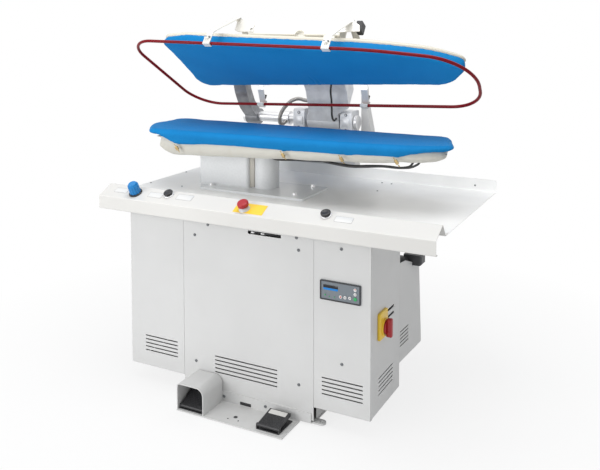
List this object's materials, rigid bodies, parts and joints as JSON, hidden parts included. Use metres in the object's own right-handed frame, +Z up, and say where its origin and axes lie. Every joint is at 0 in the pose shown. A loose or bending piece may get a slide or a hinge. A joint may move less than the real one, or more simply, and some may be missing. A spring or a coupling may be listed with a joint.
{
  "type": "utility press",
  "caption": "Steam utility press with a tilting blue padded head over a padded buck, a red safety ring, a table, a control console, foot pedals and a cabinet.",
  "frame": {"origin": "on the floor, centre of the bounding box of the machine with its head open", "axes": "+X to the operator's right along the table, -Y towards the operator, +Z up"},
  "size_m": [1.3616, 1, 1.3864],
  "materials": {
    "cabinet_paint": "smooth powder coat, off-white",
    "console_paint": "smooth powder coat, warm white",
    "table_steel": "satin enamel, light grey beige",
    "pedestal_paint": "hammered light grey paint",
    "casting_cream": "cream painted casting",
    "cast_grey": "grey painted casting",
    "shaft_steel": "turned steel",
    "crossbar_paint": "cream painted bar",
    "blue_cloth": "woven press cover, blue",
    "cream_cloth": "cotton undercloth, natural",
    "ring_red": "glossy dark red coat",
    "strap_metal": "zinc plated strip",
    "spring_brass": "spring wire",
    "hose_black": "matt hose",
    "black_plastic": "moulded, fine grain",
    "knob_blue": "moulded blue knob",
    "stop_red": "moulded red",
    "safety_yellow": "yellow",
    "display_grey": "membrane front",
    "screw_zinc": "dark zinc",
    "barrel_alu": "anodised",
    "boiler_steel": "rolled steel",
    "machine_grey": "grey paint",
    "duct_zinc": "zinc plated tube",
    "valve_brass": "machined brass"
  },
  "bodies": {
    "frame_body": {"base_plate": "cabinet_paint", "bearing_blocks": "cast_grey", "boiler": "boiler_steel", "buck_core": "casting_cream", "buck_cover": "blue_cloth", "buck_lines": "hose_black", "buck_padding": "cream_cloth", "chassis_walls": "cabinet_paint", "console_brackets": "console_paint", "control_bezels": "black_plastic", "control_console": "console_paint", "cover_springs": "spring_brass", "display_panel": "display_grey", "electrical_box": "machine_grey", "estop_plate": "safety_yellow", "front_centre_panel": "cabinet_paint", "front_left_panel": "cabinet_paint", "front_right_panel": "cabinet_paint", "left_side_panel": "cabinet_paint", "levelling_feet": "shaft_steel", "main_switch_body": "safety_yellow", "panel_screws": "screw_zinc", "pedal_bases": "black_plastic", "pedal_bracket": "cabinet_paint", "pedal_hood": "cabinet_paint", "pedestal": "pedestal_paint", "pedestal_bolts": "shaft_steel", "rear_column": "cabinet_paint", "rear_mast": "cabinet_paint", "rear_panel": "cabinet_paint", "right_rear_guard": "cabinet_paint", "right_side_panel": "cabinet_paint", "side_box_liners": "cabinet_paint", "table_top": "table_steel", "vacuum_duct": "duct_zinc", "vacuum_housing": "machine_grey", "vacuum_motor": "machine_grey", "valve_block": "valve_brass"},
    "head": {"head_arm": "cast_grey", "pivot_shaft": "shaft_steel", "swan_neck_arm": "cast_grey", "head_casting": "casting_cream", "head_cover": "blue_cloth", "crossbar": "crossbar_paint", "guide_screws": "shaft_steel", "head_lines": "hose_black"},
    "ring": {"safety_ring": "ring_red", "ring_straps": "strap_metal", "ring_clips": "strap_metal", "limit_switch": "black_plastic"},
    "barrel": {"cylinder_barrel": "barrel_alu"},
    "rod": {"cylinder_rod": "shaft_steel"},
    "left_treadle_body": {"left_treadle": "black_plastic"},
    "right_treadle_body": {"right_treadle": "black_plastic"},
    "left_button_body": {"left_push_button": "black_plastic"},
    "right_button_body": {"right_push_button": "black_plastic"},
    "estop_body": {"estop_button": "stop_red"},
    "knob_body": {"regulator_knob": "knob_blue"},
    "handle_body": {"main_switch_handle": "stop_red"},
    "impeller_body": {"vacuum_impeller": "machine_grey"}
  },
  "joints": [
    {"name": "head_hinge", "type": "hinge", "parent": "frame_body", "child": "head", "pos_m": [0, 0.308, 0.948], "axis": [1, 0, 0], "range_deg": [0, 34]},
    {"name": "ring_slide", "type": "slide", "parent": "head", "child": "ring", "axis": [0, 0.5592, 0.829], "range_m": [0, 0.012], "stiffness_N_per_m": 2000, "springref_m": -0.02},
    {"name": "cylinder_swing", "type": "hinge", "parent": "frame_body", "child": "barrel", "pos_m": [-0.063, 0.436, 0.48], "axis": [1, 0, 0], "range_deg": [-2.6, 0]},
    {"name": "rod_slide", "type": "slide", "parent": "barrel", "child": "rod", "axis": [0, -0.1175, 0.9931], "range_m": [0, 0.05]},
    {"name": "left_treadle_hinge", "type": "hinge", "parent": "frame_body", "child": "left_treadle_body", "pos_m": [-0.2115, -0.484, 0.016], "axis": [1, 0, 0], "range_deg": [-8, 0], "stiffness_Nm_per_rad": 12, "springref_deg": 6.88},
    {"name": "right_treadle_hinge", "type": "hinge", "parent": "frame_body", "child": "right_treadle_body", "pos_m": [0.094, -0.479, 0.02], "axis": [1, 0, 0], "range_deg": [-5, 0], "stiffness_Nm_per_rad": 10, "springref_deg": 5.73},
    {"name": "left_button_slide", "type": "slide", "parent": "frame_body", "child": "left_button_body", "axis": [0, 0.4525, -0.8917], "range_m": [0, 0.003], "stiffness_N_per_m": 400, "springref_m": -0.003},
    {"name": "right_button_slide", "type": "slide", "parent": "frame_body", "child": "right_button_body", "axis": [0, 0.4525, -0.8917], "range_m": [0, 0.003], "stiffness_N_per_m": 400, "springref_m": -0.003},
    {"name": "estop_slide", "type": "slide", "parent": "frame_body", "child": "estop_body", "axis": [0, 0.4525, -0.8917], "range_m": [0, 0.004]},
    {"name": "knob_turn", "type": "hinge", "parent": "frame_body", "child": "knob_body", "pos_m": [-0.493, -0.43001, 0.74074], "axis": [0, -0.4525, 0.8917], "range_deg": [-720, 720]},
    {"name": "main_switch_turn", "type": "hinge", "parent": "frame_body", "child": "handle_body", "pos_m": [0.442, -0.262, 0.346], "axis": [1, 0, 0], "range_deg": [0, 90]},
    {"name": "impeller_spin", "type": "hinge", "parent": "frame_body", "child": "impeller_body", "pos_m": [0.25, 0.025, 0.43], "axis": [1, 0, 0], "continuous": true}
  ],
  "couplings": [
    {"joint": "cylinder_swing", "follows": "head_hinge", "ratio": -0.073},
    {"joint": "rod_slide", "follows": "head_hinge", "m_per_rad": 0.082}
  ]
}
